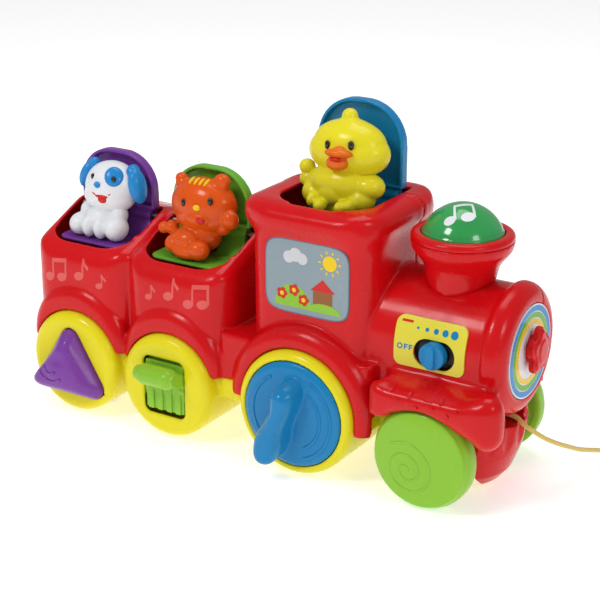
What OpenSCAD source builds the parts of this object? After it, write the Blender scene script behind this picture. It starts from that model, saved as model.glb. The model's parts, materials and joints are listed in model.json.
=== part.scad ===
// Pull-along pop-up train: two carriages, a cab and a boiler on three wide drums and two front wheels.
// Millimetres, +Z up, the floor at z = 0; the train faces +X and its controls face -Y.

/* [Carriages] */
// Length of one carriage
car_len = 84; // [82:0.5:88]
// Distance between the two carriage centres
car_pitch = 80; // [78:0.5:82]
// Distance from the cab centre to the nearer carriage centre
cab_gap = 102; // [100:0.5:105]
// Half width of a carriage
car_half = 53; // [52:0.5:55]
// Height of a carriage roof
car_top = 139; // [138:0.5:144]
// Depth of the carriage hinge line below the roof
car_hinge_drop = 5; // [4.5:0.1:5.5]
// Angle a carriage flap turns to close
car_close = 109; // [106:1:110]

/* [Cab and boiler] */
// Half length of the cab walls
cab_half_l = 45; // [45:0.5:48]
// Half width of the cab walls
cab_half_w = 46; // [46:0.5:48]
// Height of the cab roof
roof_top = 176; // [175.5:0.5:182]
// Depth of the cab hinge line below the roof
cab_hinge_drop = 4.5; // [4.4:0.1:5]
// Angle the cab flap turns to close
cab_close = 90; // [86:1:91]
// Radius of the boiler
boiler_r = 39.5; // [39:0.5:41]
// Height of the boiler axis
boiler_z = 95; // [94:0.5:97]
// Position of the chimney along the train
chimney_x = 85.3; // [84:0.5:87]

/* [Drums and wheels] */
// Radius of the two carriage drums
drum_r = 36.5; // [36:0.25:37.5]
// Radius of the cab drum
cab_drum_r = 42; // [41.5:0.25:43]
// Half width over the drum faces
drum_face = 62; // [61:0.5:64]
// Gap between the drums and the floor
drum_lift = 1.5; // [1:0.25:3]
// Radius of the front wheels
wheel_r = 33.5; // [33:0.25:34.5]
// Position of the front wheels along the train
wheel_x = 90; // [89:0.5:91]
// Radius of the rear rollers
roller_r = 9; // [8.5:0.25:10]

/* [Walls and fits] */
// Wall thickness of the mouldings
wall = 2.6; // [2.2:0.1:3]
// Radial running clearance of pins and shafts
run = 0.05; // [0.02:0.01:0.1]
// Clearance round buttons, knobs and drums
gap = 0.4; // [0.3:0.05:0.6]
// Radius of the flap hinge pins
pin_r = 1.5; // [1.4:0.1:1.8]
// Radius of the front axle
axle_r = 2.5; // [2:0.1:3]

/* [Movements] */
// Travel of the triangle button
button_travel = 5; // [3:0.5:6]
// Travel of the dome button
dome_travel = 3; // [2:0.5:4]
// Travel of the volume switch to either side
switch_travel = 5; // [4:0.5:6]
// Swing of the flip lever
lever_swing = 18; // [10:1:18]

/* [Hidden] */
$fn = 48;
car1_x = -cab_gap - car_pitch;
car2_x = -cab_gap;
rear_x = car1_x - car_len / 2;
seam_y = 16;

// Drums
drum_z = drum_lift + drum_r;
cab_drum_z = drum_lift + cab_drum_r;
drum_edge = 7;
cab_drum_edge = 5.5;
face_in = drum_face - wall;
belly_half = car_half - 3;
belly_z = drum_z - 2;
belly_top = 50;
belly_in = belly_half - wall;
floor_z = belly_z + wall;
keel_z = 13;
keel_half = 20;
keel_x0 = 46;
door_x1 = wheel_x + 19;
door_half = keel_half - wall - 0.2;
cell_z = keel_z + 10;
cell_y = 8;
front_half = 33;
front_z = wheel_r - 7;
front_top = 57;
front_in = front_half - wall;
belly_front = wheel_x + 22;

// Carriage roof
slope = 23.3;
back_slope = 15.7;
shoulder_r = 18;
shoulder_z = car_top - 33.6 * car_half / 53;
back_z = car_top - 26.3 * car_half / 53;
near_ridge = -2.47 * car_half / 53;
far_ridge = 7.95 * car_half / 53;
car_round = 11;
car_hinge_z = car_top - car_hinge_drop;
car_inner = car_pitch / 2 - 1.8;
car_bottom = belly_top;

// Cab, waist and boiler
cab_hinge_y = 23;
cab_hinge_z = roof_top - cab_hinge_drop;
waist_x0 = -66;
waist_x1 = 50;
waist_top = 82;
post1_x = car1_x + car_pitch / 2;
post1_y = 30;
post2_x = waist_x0 + 12;
post2_y = belly_in - 4.6;
collar_r = boiler_r + 3;
collar_x0 = wheel_x + 30;
collar_x1 = collar_x0 + 14;
collar_round = 11;
cap_x = collar_x1 - 5;
cap_r = collar_r - collar_round - 1.5;
nose_tip = collar_x1 + 13;

// Fenders
fender_r = drum_r + 4.5;
fender_z = drum_z + 14;
cab_fender_r = cab_drum_r + 12;
cab_fender_z = cab_drum_z + 2.5;
fender_half = drum_face - 5;
fender_edge = 10;
rail_top = wheel_r + 47.5;
rail_x0 = wheel_x - 30;
well_r = wheel_r + 3;
lip_r = wheel_r - 1.5;
label_z0 = rail_top + 4.6;
label_x = chimney_x - 0.3;
switch_x = chimney_x + 3.2;
switch_z = label_z0 + 10.8;

// Flaps
barrel_r = 4.2;
boss_r = 4.5;
lid_back = 3.6;
lid_t = 2.4;
lip_deep = 5;
lid_half = 31.5;
open_half = lid_half + 2;
boss_x = open_half;
car_lid = car_half - 9.5;
cab_lid = 60.3;
car_pin = car_inner - 1.7;
cab_pin = cab_half_l - wall - 1;

// Controls
bulk_y = 44;
stem_r = 5;
knob_r = cab_drum_r - 6.4;
lever_r = 36;
lever_y = -(drum_face - 1 - lever_r);
lever_half = 16.5;
lever_pin_r = 2;
lever_low = 35;
lever_top = lever_low + lever_swing + 2;
tri_z = drum_z - 2;
tri_front = drum_face + button_travel + 10;
knob_crest = drum_face + 16.5;
grip = flow([[3, 19, 8], [1, 9, 6.8], [-4, -2, 7.2], [-8, -13, 9.5], [-10, -21, 8.5]], 3);

// Chimney and dome
chim_z = boiler_z + boiler_r;
bowl_floor = chim_z + 8.5;
bowl_top = chim_z + 25.5;
rim_top = bowl_top + 4.5;
dome_r = 25.6;
flange_r = 27.8;
dome_top = bowl_top + 22;
dome_seat = bowl_top - 3;
bowl_step = dome_seat - dome_travel - 0.5;

// Row placement: the origin is under the middle of the train
shift_x = -(rear_x + nose_tip) / 2;
shift_y = (knob_crest - drum_face) / 2;

// Pull cord: hand-laid points from the eyelet to the floor and round in a loose loop
cord_r = 1.5;
cord_x = belly_front;
cord_z = belly_top;
cord_route = [
  [0, 0, 0], [6, 0, 0], [12, -0.5, -0.2], [16, -1, -0.6], [22, -3.4, -3], [27, -2.4, -6], [33, 3.2, -12],
  [38, 12, -18], [42, 23, -24], [45.5, 35, -30], [49.5, 51, -36], [51.5, 66, -42], [54.5, 77, -46],
  [59, 86, -48.4], [66, 95, -48.4], [77, 101, -48.4], [90, 100, -48.4], [100, 92, -48.4], [103, 80, -48.4],
  [98, 69, -48.4], [88, 63, -47], [78, 62, -45], [72, 63, -45]
];
cord_points = flow(cord_route, 3);

// Points of a smooth curve through p, n of them to each span
function flow(p, n) = [
  for (i = [0:len(p) - 2], k = [0:n - 1])
    let (a = p[max(i - 1, 0)], b = p[i], c = p[i + 1], d = p[min(i + 2, len(p) - 1)], t = k / n)
    0.5 * (2 * b + (c - a) * t + (2 * a - 5 * b + 4 * c - d) * t * t + (3 * b - a - 3 * c + d) * t * t * t),
  p[len(p) - 1]
];

// Returns the point where a roof slope leaves a shoulder of radius r
function lean(c, r, a) = [c[0] + r * cos(a), c[1] + r * sin(a)];

// Rounded rectangle about the origin
module rrect(l, w, r) {
  square([l - 2 * r, w], center = true);
  square([l, w - 2 * r], center = true);
  for (sx = [-1, 1], sy = [-1, 1])
    translate([sx * (l / 2 - r), sy * (w / 2 - r)]) circle(r);
}

// Bar with round ends from p to q
module bar2d(p, q, r) {
  d = q - p;
  translate(p) circle(r);
  translate(q) circle(r);
  translate((p + q) / 2) rotate(atan2(d[1], d[0])) square([norm(d), 2 * r], center = true);
}

// Rounded triangle: three corner circles and the outline that joins them
module tri2d(k, r) {
  c = [[0, 20 * k], [-20 * k, -13 * k], [20 * k, -13 * k]];
  polygon([for (i = [0:2])
    let (p = c[i], q = c[(i + 1) % 3], d = (q - p) / norm(q - p), n = r * [d[1], -d[0]])
    each [p + n, q + n]]);
  for (p = c)
    translate(p) circle(r);
}

// Extrudes (y, z) outlines from x0 to x1
module along_x(x0, x1) {
  translate([x0, 0, 0]) rotate([90, 0, 90]) linear_extrude(x1 - x0) children();
}

// Extrudes (x, z) outlines from y0 to y1
module along_y(y0, y1) {
  translate([0, y1, 0]) rotate([90, 0, 0]) linear_extrude(y1 - y0) children();
}

module rod_x(r, x0, x1) {
  translate([x0, 0, 0]) rotate([0, 90, 0]) cylinder(r = r, h = x1 - x0);
}

module rod_y(r, y0, y1) {
  translate([0, y1, 0]) rotate([90, 0, 0]) cylinder(r = r, h = y1 - y0);
}

module box(x0, x1, y0, y1, z0, z1) {
  translate([x0, y0, z0]) cube([x1 - x0, y1 - y0, z1 - z0]);
}

// Solid drum from the middle plane to the near side, its outer edge rounded
module half_drum(r, h, e) {
  rotate([90, 0, 0]) rotate_extrude() {
    square([r - e, h]);
    square([r, h - e]);
    translate([r - e, h - e]) intersection() {
      circle(e);
      square(e + 1);
    }
  }
}

module full_drum(r, h, e) {
  half_drum(r, h, e);
  mirror([0, 1, 0]) half_drum(r, h, e);
}

// Tube of radius r along points, with flat ends; up is never along the path
module tube(points, r, sides, up) {
  n = len(points);
  tang = [for (i = [0:n - 1]) let (d = points[min(i + 1, n - 1)] - points[max(i - 1, 0)]) d / norm(d)];
  side = [for (t = tang) let (s = cross(t, up)) s / norm(s)];
  rings = [for (i = [0:n - 1]) for (k = [0:sides - 1])
    let (a = 360 * k / sides)
    points[i] + r * (cos(a) * side[i] + sin(a) * cross(side[i], tang[i]))];
  skin = [for (i = [0:n - 2]) for (k = [0:sides - 1])
    let (a = i * sides + k, b = i * sides + (k + 1) % sides)
    each [[a, b, b + sides], [a, b + sides, a + sides]]];
  first = [for (k = [sides - 1:-1:0]) k];
  last = [for (k = [0:sides - 1]) (n - 1) * sides + k];
  polyhedron(rings, concat(skin, [first, last]));
}

// Spring wound about Z with closed flat ends
module coil(r, wire, height, turns) {
  steps = turns * 12;
  pts = [for (i = [0:steps])
    let (a = 360 * i / 12, f = i / steps)
    [r * cos(a), r * sin(a), wire + (height - 2 * wire) * f]];
  tube(pts, wire, 6, [0, 0, 1]);
}

module in_row() {
  translate([shift_x, shift_y, 0]) children();
}

// Carriage outline across the train, inset by i
module car2d(i) {
  r = shoulder_r - i;
  near_c = [-(car_half - shoulder_r), shoulder_z];
  far_c = [car_half - shoulder_r, back_z];
  t1 = lean(near_c, r, 90 + slope);
  t2 = lean(far_c, r, 90 - back_slope);
  top = car_top - i;
  polygon([
    [-car_half + i, car_bottom - i], [-car_half + i, shoulder_z], near_c, t1,
    [t1[0] + (top - t1[1]) / tan(slope), top],
    [t2[0] - (top - t2[1]) / tan(back_slope), top],
    t2, far_c, [car_half - i, back_z], [car_half - i, car_bottom - i]
  ]);
  translate(near_c) circle(r);
  translate(far_c) circle(r);
}

module car_block(x, i, l) {
  intersection() {
    translate([x, 0, 0]) along_x(-l / 2, l / 2) car2d(i);
    translate([x, 0, 0]) linear_extrude(car_top + 10) rrect(l, 2 * (car_half - i), 20 - i);
    translate([x, near_ridge, car_top]) rotate([slope, 0, 0]) roll(i, l);
    translate([x, far_ridge, car_top]) rotate([-back_slope, 0, 0]) roll(i, l);
  }
}

// Prism along a roof slope whose two upper edges are rolled over
module roll(i, l) {
  along_y(-150, 150) translate([0, 0.1 - i - 100]) rrect(l, 200, car_round - i);
}

// Opening under a closed lid, in the flap's own upright plane
module opening2d(reach, r) {
  translate([-open_half, -7]) square([2 * open_half, reach + 7 - r]);
  translate([-(open_half - r), -7]) square([2 * (open_half - r), reach + 7]);
  for (s = [-1, 1])
    translate([s * (open_half - r), reach - r]) circle(r);
}

module cab_block() {
  translate([0, 0, waist_top - 12]) linear_extrude(roof_top - 11 - waist_top + 12)
    rrect(2 * cab_half_l, 2 * cab_half_w, 16);
  intersection() {
    translate([-1.5, 0, roof_top - 19]) linear_extrude(19) rrect(2 * cab_half_l + 7, 2 * cab_half_w + 4, 26);
    along_y(-60, 60) translate([-1.5, roof_top - 9.5]) rrect(2 * cab_half_l + 7, 19, 9);
    along_x(-60, 60) translate([0, roof_top - 9.5]) rrect(2 * cab_half_w + 4, 19, 9);
  }
}

module boiler2d(i) {
  translate([0, boiler_z]) circle(boiler_r - i);
  translate([-(boiler_r - i), 62 - i]) square([2 * (boiler_r - i), boiler_z - 62 + i]);
}

module collar() {
  translate([0, 0, boiler_z]) rotate([0, 90, 0]) rotate_extrude() {
    translate([0, collar_x0]) square([collar_r - collar_round, collar_x1 - collar_x0]);
    translate([0, collar_x0]) square([collar_r - 2, collar_x1 - collar_x0 - collar_round]);
    translate([0, collar_x0 + 2]) square([collar_r, collar_x1 - collar_x0 - collar_round - 2]);
    translate([collar_r - 2, collar_x0 + 2]) circle(2);
    translate([collar_r - collar_round, collar_x1 - collar_round]) intersection() {
      circle(collar_round);
      square(collar_round + 1);
    }
  }
}

module lobe(s) {
  translate([wheel_x + 40.5, s * 50, 0]) {
    translate([0, 0, 57.5]) cylinder(r = 10.5, h = 16);
    translate([0, 0, 57.5]) sphere(10.5);
    translate([0, 0, 73.5]) sphere(10.5);
  }
}

// Everything red that is solid before the inside is taken out
module body_outer() {
  car_block(car1_x, 0, car_len);
  car_block(car2_x, 0, car_len);
  translate([(waist_x0 + waist_x1) / 2, 0, belly_top]) linear_extrude(waist_top - belly_top)
    rrect(waist_x1 - waist_x0, 2 * belly_half, 6);
  cab_block();
  along_x(40, collar_x0 + 8) boiler2d(0);
  collar();
  intersection() {
    union() {
      translate([car1_x, 0, fender_z]) full_drum(fender_r, fender_half, fender_edge);
      translate([car2_x, 0, fender_z]) full_drum(fender_r, fender_half, fender_edge);
    }
    box(rear_x - 5, 0, -80, 80, belly_top, 140);
  }
  intersection() {
    translate([0, 0, cab_fender_z]) full_drum(cab_fender_r, fender_half, fender_edge);
    union() {
      box(-80, 1, -80, 80, belly_top - 6, 140);
      box(0, 80, -80, 80, belly_z, 140);
    }
  }
  for (s = [-1, 1]) {
    front_rail(s);
    lobe(s);
  }
}

// Rail over a front wheel, its upper edge rolled over, with a small lobe at the cab end
module front_rail(s) {
  mirror([0, s > 0 ? 1 : 0, 0]) {
    along_x(rail_x0, wheel_x + 40.5) {
      translate([-drum_face + 9, rail_top - 9]) circle(9);
      translate([-drum_face, 56]) square([drum_face - front_half - 1, rail_top - 9 - 56]);
      translate([-drum_face + 9, 56]) square([drum_face - front_half - 10, rail_top - 56]);
    }
    translate([rail_x0 + 1, -drum_face + 6.4, 0]) {
      translate([0, 0, 60]) cylinder(r = 7, h = rail_top - 68);
      translate([0, 0, 60]) sphere(7);
      translate([0, 0, rail_top - 8]) sphere(7);
    }
  }
}

module body_inner() {
  car_block(car1_x, wall, 2 * car_inner);
  car_block(car2_x, wall, 2 * car_inner);
  box(waist_x0 + wall, waist_x1 - wall, -belly_in, belly_in, belly_top - 10, waist_top - wall);
  translate([0, 0, waist_top - 20]) linear_extrude(roof_top - wall - waist_top + 20)
    rrect(2 * (cab_half_l - wall), 2 * (cab_half_w - wall), 16 - wall);
  along_x(42, cap_x - 2) boiler2d(wall);
  box(42, cap_x - 2, -(boiler_r - wall), boiler_r - wall, 40, boiler_z);
  translate([car1_x, 0, fender_z]) full_drum(fender_r - wall, fender_half - wall, fender_edge - wall);
  translate([car2_x, 0, fender_z]) full_drum(fender_r - wall, fender_half - wall, fender_edge - wall);
  translate([0, 0, cab_fender_z]) full_drum(cab_fender_r - wall, fender_half - wall, fender_edge - wall);
}

// Room for the drums, the wheels and the pieces that sit in the shell
module body_cuts() {
  translate([car1_x, 0, drum_z]) rod_y(drum_r + gap, -80, 80);
  translate([car2_x, 0, drum_z]) rod_y(drum_r + gap, -80, 80);
  translate([0, 0, cab_drum_z]) rod_y(cab_drum_r + gap, -80, 80);
  box(waist_x0 - 10, waist_x1 + 10, -belly_half - gap, belly_half + gap, 20, belly_top);
  for (x = [car1_x, car2_x])
    translate([x, 0, car_hinge_z]) {
      rotate([car_close, 0, 0]) along_y(-16, 16) opening2d(car_lid + 1.5, 20);
      rod_x(pin_r, -car_pin, car_pin);
    }
  translate([0, cab_hinge_y, cab_hinge_z]) rotate([cab_close, 0, 0]) along_y(-10, 16) opening2d(61, 22);
  for (s = [-1, 1])
    translate([wheel_x, 0, wheel_r]) {
      rod_y(well_r, s > 0 ? front_half : -drum_face + 3, s > 0 ? drum_face - 3 : -front_half);
      rod_y(lip_r, s > 0 ? front_half : -drum_face - 5, s > 0 ? drum_face + 5 : -front_half);
    }
  translate([0, 0, boiler_z]) rod_x(cap_r + 0.2, cap_x, nose_tip);
  translate([chimney_x, 0, boiler_z + 20]) cylinder(r = 20, h = 40);
  along_y(-60, -cab_half_w + 1.4) translate([2.5, 130.5]) rrect(56, 47, 6);
  switch_slot();
}

// Bosses and posts added after the inside is taken out
module hinge_boss(half, pin) {
  for (s = [-1, 1])
    difference() {
      rod_x(boss_r, s > 0 ? boss_x : -half - 0.6, s > 0 ? half + 0.6 : -boss_x);
      rod_x(pin_r, -pin, pin);
    }
}

// Screw post: inside the bulkhead between the carriages, or on a web from the waist wall
module post(x, y, web) {
  difference() {
    union() {
      translate([x, y, floor_z]) cylinder(r = 3.4, h = waist_top - 1 - floor_z);
      if (web)
        box(x - 1, x + 1, y > 0 ? y : -belly_half + 1, y > 0 ? belly_half - 1 : y, belly_top + 8, waist_top - 1);
    }
    translate([x, y, floor_z - 1]) cylinder(r = 1.5, h = belly_top - floor_z + 1);
  }
}

module body_inside() {
  for (x = [car1_x, car2_x])
    intersection() {
      translate([x, 0, car_hinge_z]) hinge_boss(car_inner, car_pin);
      car_block(x, 0.5, 2 * car_inner + 2);
    }
  translate([0, cab_hinge_y, cab_hinge_z]) hinge_boss(cab_half_l - wall, cab_pin);
  for (s = [-1, 1]) {
    post(post1_x, s * post1_y, false);
    post(post2_x, s * post2_y, true);
  }
}

module body() {
  difference() {
    body_outer();
    body_inner();
    body_cuts();
  }
  body_inside();
}

module near_shell() color("red") in_row() {
  intersection() {
    body();
    box(rear_x - 20, 200, -100, seam_y, -10, 250);
  }
}

module far_shell() color("red") in_row() {
  intersection() {
    body();
    box(rear_x - 20, 200, seam_y, 100, -10, 250);
  }
}

// Base: three half drums and a belly, drawn for the near side
module base_solid(i) {
  translate([car1_x, 0, drum_z]) half_drum(drum_r - i, drum_face - i, drum_edge - i / 2);
  translate([car2_x, 0, drum_z]) half_drum(drum_r - i, drum_face - i, drum_edge - i / 2);
  translate([0, 0, cab_drum_z]) half_drum(cab_drum_r - i, drum_face - i, cab_drum_edge - i / 2);
}

module base_half() {
  difference() {
    union() {
      base_solid(0);
      box(car1_x, 48, -belly_half, 0, belly_z, belly_top);
      box(keel_x0, belly_front, -front_half, 0, front_z, front_top);
      box(keel_x0, belly_front, -keel_half, 0, keel_z, front_z + 1);
    }
    base_solid(wall);
    box(car1_x, 48 - wall, -belly_in, 1, floor_z, belly_top + 1);
    box(42, belly_front - wall, -front_in, 1, floor_z, front_top + 1);
    box(keel_x0 + wall, belly_front - wall, -front_in, 1, front_z + wall, floor_z + 1);
    box(keel_x0 + wall, belly_front - wall, -keel_half + wall, 1, keel_z + wall, front_z + wall + 1);
    for (x = [car1_x, car2_x])
      box(x - 30, x + 30, -51, 1, drum_z + 24, drum_z + 60);
    box(-36, 36, -48, 1, cab_drum_z + 24, cab_drum_z + 60);
    translate([wheel_x, 0, wheel_r]) rod_y(axle_r + run, -60, 1);
    for (p = [[post1_x, -post1_y], [post2_x, -post2_y]])
      translate(p) cylinder(r = 1.5, h = 40);
    box(keel_x0 + 1.3, door_x1 + 0.2, -door_half - 0.2, 1, keel_z - 1, keel_z + 1.4);
    box(keel_x0 + 3.2, door_x1 - 7.5, -door_half + 1.6, 1, keel_z - 1, keel_z + 8);
    box(car1_x - roller_r - 1, car1_x + roller_r + 1, -34.5, -25.5, -1, 22);
  }
  for (y = [-23, -40])
    difference() {
      intersection() {
        box(car1_x - 5, car1_x + 5, y, y + 2, 0, roller_r + 6);
        translate([car1_x, 0, drum_z]) rod_y(drum_r - 1, -80, 80);
      }
      translate([car1_x, 0, roller_r]) rod_y(2 + run, -80, 80);
    }
}

// Plate inside a drum that carries a stem or a shaft
module bulkhead(x, z, r, bore) {
  difference() {
    translate([x, 0, z]) rod_y(r - 1, -bulk_y, -bulk_y + 3);
    translate([x, 0, bore]) rod_y(stem_r + run, -80, 0);
    box(x - 60, x + 60, -60, 0, z + 20, z + 60);
    box(x - 12, x + 12, -60, 0, 0, z - 18);
  }
}

module near_base() color("gold") in_row() {
  difference() {
    base_half();
    translate([car1_x, 0, tri_z]) along_y(-80, -50) tri2d(1, 7 + gap);
    translate([car2_x, 0, drum_z]) along_y(-80, -50) rrect(2 * lever_half + 2 * gap, 41, 5);
    translate([0, 0, cab_drum_z]) rod_y(knob_r + gap, -80, -50);
  }
  bulkhead(car1_x, drum_z, drum_r, tri_z);
  bulkhead(0, cab_drum_z, cab_drum_r, cab_drum_z);
  for (s = [-1, 1])
    difference() {
      translate([car2_x + s * (lever_half + 2.6), 0, drum_z]) box(-1.4, 1.4, -face_in - 0.4, lever_y + 8, -8, 8);
      translate([car2_x, lever_y, drum_z]) rod_x(lever_pin_r, -30, 30);
    }
}

module far_base() color("gold") in_row() {
  difference() {
    union() {
      mirror([0, 1, 0]) base_half();
      box(door_x1 - 6.6, belly_front - wall + 0.5, 5, 11, keel_z + 3.6, keel_z + 11);
    }
    box(door_x1 - 7.6, door_x1 + 0.1, 3.2, 12.8, keel_z - 1, keel_z + 3.6);
    translate([door_x1 - 3.5, 8, 0]) cylinder(r = 1.3, h = keel_z + 9.8);
    for (i = [-2:2])
      translate([i * 9, 0, cab_drum_z]) along_y(50, 80) bar2d([0, -14 + 2 * abs(i)], [0, 14 - 2 * abs(i)], 1.5);
    for (x = [car1_x, car2_x])
      translate([x, drum_face, drum_z]) rotate([90, 0, 0]) rotate_extrude() translate([20, 0]) circle(1);
  }
}

// Flap about its own hinge line: lid upright, seat tray in front
module flap(reach, r, tray_y) {
  difference() {
    union() {
      along_y(lid_back - lid_t, lid_back) lid2d(reach, r, 0);
      along_y(lid_back - lip_deep - lid_t, lid_back) difference() {
        lid2d(reach, r, 0);
        lid2d(reach - 2.4, r - 2.4, 2.4);
      }
      for (s = [-1, 1])
        translate([s * 18, 0, 0]) {
          rod_x(barrel_r, -10, 10);
          box(-10, 10, lid_back - lid_t, lid_back, 0, 6);
          along_x(-10, 10) bar2d([0, 0], [-9, -14], 1.2);
        }
      translate([0, (-9 + tray_y) / 2, -16]) linear_extrude(2) rrect(58, -tray_y - 9 + 2.4, 8);
    }
    rod_x(pin_r + run, -40, 40);
  }
}

module lid2d(reach, r, i) {
  h = lid_half - i;
  translate([-h, 5 + i]) square([2 * h, reach - r - 5 - i]);
  intersection() {
    union() {
      translate([-(h - r), 0]) square([2 * (h - r), reach]);
      for (s = [-1, 1])
        translate([s * (h - r), reach - r]) circle(r);
    }
    translate([-h - 1, reach - r - 4]) square([2 * h + 2, r + 5]);
  }
}

module purple_flap() color("purple") in_row() {
  translate([car1_x, 0, car_hinge_z]) flap(car_lid, 26, -(car_lid - 7.5));
}

module green_flap() color("limegreen") in_row() {
  translate([car2_x, 0, car_hinge_z]) flap(car_lid, 26, -(car_lid - 7.5));
}

module blue_flap() color("dodgerblue") in_row() {
  translate([0, cab_hinge_y, cab_hinge_z]) flap(cab_lid, 28, -50);
}

module hinge_pins() color("silver") in_row() {
  for (x = [car1_x, car2_x])
    translate([x, 0, car_hinge_z]) rod_x(pin_r, -car_pin, car_pin);
  translate([0, cab_hinge_y, cab_hinge_z]) rod_x(pin_r, -cab_pin, cab_pin);
}

// Torsion springs on the hinge pins, in the gap between the barrels
module flap_springs() color("gray") in_row() {
  for (p = [[car1_x, 0, car_hinge_z], [car2_x, 0, car_hinge_z], [0, cab_hinge_y, cab_hinge_z]])
    translate(p + [-4, 0, 0]) rotate([0, 90, 0]) coil(2.1, 0.45, 8, 5);
}

// Rounded blob at p with half sizes s
module blob(p, s) {
  hull() translate(p) scale(s) sphere(1, $fn = 20);
}

module limb(p, q, r, e) {
  hull() {
    translate(p) sphere(r, $fn = 12);
    translate(q) sphere(e, $fn = 12);
  }
}

// Flat underside of a figure, on its seat tray
module seat(x, y, r, h) {
  hull()
    for (s = [-1, 1])
      translate([s * x, y, -14]) cylinder(r = r, h = h, $fn = 16);
}

// Seated figures, drawn from the middle of their own hinge line
module puppy() color("white") in_row() {
  translate([car1_x, 0, car_hinge_z]) {
    blob([3, -15.5, 21], [18, 14, 16.5]);
    blob([0, -19, -2], [15, 11, 11.5]);
    for (s = [-1, 1]) {
      limb([3 + s * 17, -13, 30], [2 + s * 23, -13, 17], 4.5, 5.5);
      limb([s * 10, -22, -7.5], [s * 17, -29, -7.5], 5, 6);
      limb([s * 8, -24, 2], [s * 5.5, -32, -6], 4, 4.5);
    }
    blob([3, -27, 15], [8, 5, 5.5]);
    seat(6, -20, 5, 4);
  }
}

module kitten() color("orange") in_row() {
  translate([car2_x, 0, car_hinge_z]) {
    blob([0, -15, 20], [23, 13.5, 17]);
    blob([1, -19, -2], [15, 11, 11.5]);
    limb([-16, -13, 29], [-20, -12.5, 34], 5, 3.5);
    limb([15, -13, 31], [18, -12.5, 35], 5.5, 4);
    limb([-18, -24, -6.5], [4, -30, -7], 6.5, 6.3);
    limb([14, -20, -7], [20, -27, -7], 5, 6);
    limb([14, -19, 4], [25, -17, 13], 5, 6);
    limb([-14, -20, 2], [-24, -22, 3], 4.5, 4.5);
    blob([2, -26, 13], [9, 4.5, 5.5]);
    seat(6, -20, 5, 4);
  }
}

module duckling() color("yellow") in_row() {
  translate([0, cab_hinge_y, cab_hinge_z]) {
    blob([2, -20, 34], [26, 16, 19]);
    blob([0, -22, 4], [18, 13, 16]);
    limb([0, -19, 50], [3, -18, 53.5], 4, 3);
    limb([-14, -22, 11], [-24, -25, 17], 6, 5);
    limb([-14, -23, 8], [-23, -26, 9], 6, 5);
    limb([14, -23, 9], [21, -26, 11], 7, 6.5);
    for (s = [-1, 1])
      limb([s * 9, -32, -4], [s * 11, -44, -6], 5, 4.5);
    limb([5, -34, 31], [4, -40, 28], 6, 4);
    seat(8, -24, 6, 10);
  }
}

// Triangle button with its flange, stem and domed front
module triangle_button() color("mediumpurple") in_row() {
  translate([car1_x, 0, tri_z]) {
    along_y(-tri_front + 11, -face_in) tri2d(1, 7);
    along_y(-tri_front + 8, -face_in) tri2d(0.94, 6.2);
    along_y(-tri_front + 5, -face_in) tri2d(0.84, 5.2);
    along_y(-tri_front + 2.5, -face_in) tri2d(0.68, 4.4);
    translate([0, -tri_front + 2.5, -1]) dome(9, 2.5);
    along_y(-face_in, -face_in + 2) intersection() {
      tri2d(1.04, 8.2);
      translate([0, drum_z - tri_z]) circle(drum_r - wall - 6);
    }
    rod_y(stem_r, -face_in, -bulk_y + 10);
  }
}

module button_spring() color("gray") in_row() {
  translate([car1_x, -bulk_y, tri_z]) rotate([90, 0, 0]) coil(7, 0.5, face_in - 2 - bulk_y, 5);
}

// Flip lever: curved plate between two arms on a split hub, with a finger tab
module flip_lever() color("limegreen") in_row() {
  translate([car2_x, lever_y, drum_z]) difference() {
    union() {
      intersection() {
        difference() {
          rod_x(lever_r, -lever_half, lever_half);
          rod_x(lever_r - 2.4, -lever_half - 1, lever_half + 1);
        }
        along_x(-40, 40) polygon([
          [0, 0], 70 * [-cos(lever_low), -sin(lever_low)], [-90, 0], 70 * [-cos(lever_top), sin(lever_top)]
        ]);
      }
      for (s = [-1, 1])
        translate([s * (lever_half - 3.5), 0, 0]) along_x(-3.5, 3.5) {
          circle(4.5);
          bar2d([0, 0], [-lever_r + 2, 0], 3);
          bar2d([0, 0], (lever_r - 2) * [-cos(lever_top - 6), sin(lever_top - 6)], 2);
        }
      along_x(-lever_half, lever_half)
        bar2d((lever_r - 1.2) * [-cos(13), sin(13)], (lever_r + 10) * [-cos(14), sin(14)], 4.8);
    }
    rod_x(lever_pin_r + run, -40, 40);
  }
}

module lever_pin() color("silver") in_row() {
  translate([car2_x, lever_y, drum_z]) rod_x(lever_pin_r, -lever_half - 4, lever_half + 4);
}

module lever_spring() color("gray") in_row() {
  translate([car2_x - 5, lever_y, drum_z]) rotate([0, 90, 0]) coil(2.8, 0.5, 10, 5);
}

// Dome of radius r and height h, standing on the plane y = 0 and rising towards -Y
module dome(r, h) {
  big = (r * r + h * h) / (2 * h);
  rotate([90, 0, 0]) rotate_extrude() intersection() {
    square([r, h]);
    translate([0, h - big]) circle(big, $fn = 160);
  }
}

// Outline of the grip about its curved middle line, inset by i; each point carries its half width
module grip2d(i) {
  n = len(grip) - 1;
  dir = [for (k = [0:n]) let (d = grip[min(k + 1, n)] - grip[max(k - 1, 0)]) atan2(d[1], d[0])];
  side = [for (k = [0:n]) (grip[k][2] - i) * [-sin(dir[k]), cos(dir[k])]];
  mid = [for (g = grip) [g[0], g[1]]];
  polygon(concat(
    [for (k = [0:n]) mid[k] + side[k]],
    [for (a = [60:-30:-60]) mid[n] + (grip[n][2] - i) * [cos(dir[n] + a), sin(dir[n] + a)]],
    [for (k = [n:-1:0]) mid[k] - side[k]],
    [for (a = [-120:-30:-240]) mid[0] + (grip[0][2] - i) * [cos(dir[0] + a), sin(dir[0] + a)]]
  ));
}

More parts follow.
